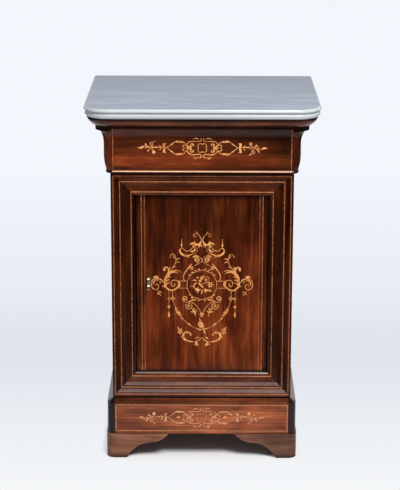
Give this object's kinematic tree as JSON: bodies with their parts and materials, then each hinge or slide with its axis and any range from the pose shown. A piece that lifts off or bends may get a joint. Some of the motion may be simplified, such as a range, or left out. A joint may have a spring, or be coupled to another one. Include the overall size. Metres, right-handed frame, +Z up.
{
  "type": "bedside pot cupboard",
  "caption": "Upright bedside pot cupboard with a marble top, a moulded frieze drawer, a recessed lockable door in a stepped frame, and a moulded plinth on bracket feet.",
  "frame": {"origin": "centre of the bounding box in plan, at floor level", "axes": "+Z up, the front with the door and drawer faces -Y, the back is flush on +Y, +X is to the right seen from the front"},
  "size_m": [0.458, 0.366, 0.7265],
  "materials": {
    "marble": "polished",
    "rosewood": "french polished veneer",
    "ebonised": "polished",
    "inlay": "polished",
    "oak": "plain",
    "pine": "plain",
    "brass": "worn",
    "steel": "plain"
  },
  "bodies": {
    "cupboard": {"marble_top": "marble", "cornice_front": "rosewood", "cornice_left": "rosewood", "cornice_right": "rosewood", "top_front_rail": "pine", "top_back_rail": "pine", "side_panel_left": "rosewood", "side_panel_right": "rosewood", "back_boards": "pine", "drawer_divider": "oak", "cupboard_floor": "oak", "shelf": "oak", "shelf_battens": "oak", "frame_stile_left": "rosewood", "frame_stile_right": "rosewood", "frame_rail_top": "rosewood", "frame_rail_bottom": "rosewood", "frame_stringing": "inlay", "frame_fillet": "ebonised", "frieze_left": "rosewood", "frieze_right": "rosewood", "frieze_corner_left": "rosewood", "frieze_corner_right": "rosewood", "lip_left": "ebonised", "lip_right": "ebonised", "drawer_kickers": "oak", "drawer_stops": "oak", "plinth_front": "rosewood", "plinth_corner_left": "ebonised", "plinth_corner_right": "ebonised", "plinth_left": "rosewood", "plinth_right": "rosewood", "plinth_back": "pine", "plinth_stringing": "inlay", "foot_front_left": "rosewood", "foot_front_right": "rosewood", "feet_side_left": "rosewood", "feet_side_right": "rosewood", "feet_back": "pine", "foot_blocks": "pine", "frame_pivot_leaves": "brass", "strike_plate": "brass", "frame_screws": "steel"},
    "door": {"door_panel": "rosewood", "door_stringing": "inlay", "door_pivot_leaves": "brass", "lock_plate": "brass", "lock_cap": "brass", "door_screws": "steel", "escutcheon": "brass"},
    "bolt": {"lock_bolt": "brass"},
    "key": {"key": "brass"},
    "drawer": {"drawer_front": "rosewood", "drawer_lip": "inlay", "drawer_stringing": "inlay", "drawer_side_left": "oak", "drawer_side_right": "oak", "drawer_back": "oak", "drawer_bottom": "pine"}
  },
  "joints": [
    {"name": "drawer_slide", "type": "slide", "parent": "cupboard", "child": "drawer", "axis": [0, -1, 0], "range_m": [0, 0.21]},
    {"name": "door_swing", "type": "hinge", "parent": "cupboard", "child": "door", "pos_m": [0.1272, -0.116, 0.3585], "axis": [0, 0, 1], "range_deg": [0, 150]},
    {"name": "key_turn", "type": "hinge", "parent": "door", "child": "key", "pos_m": [-0.1057, -0.112, 0.366], "axis": [0, -1, 0], "range_deg": [0, 360]},
    {"name": "bolt_slide", "type": "slide", "parent": "door", "child": "bolt", "axis": [-1, 0, 0], "range_m": [0, 0.007]}
  ],
  "couplings": [
    {"joint": "bolt_slide", "follows": "key_turn", "m_per_rad": 0.001114}
  ]
}
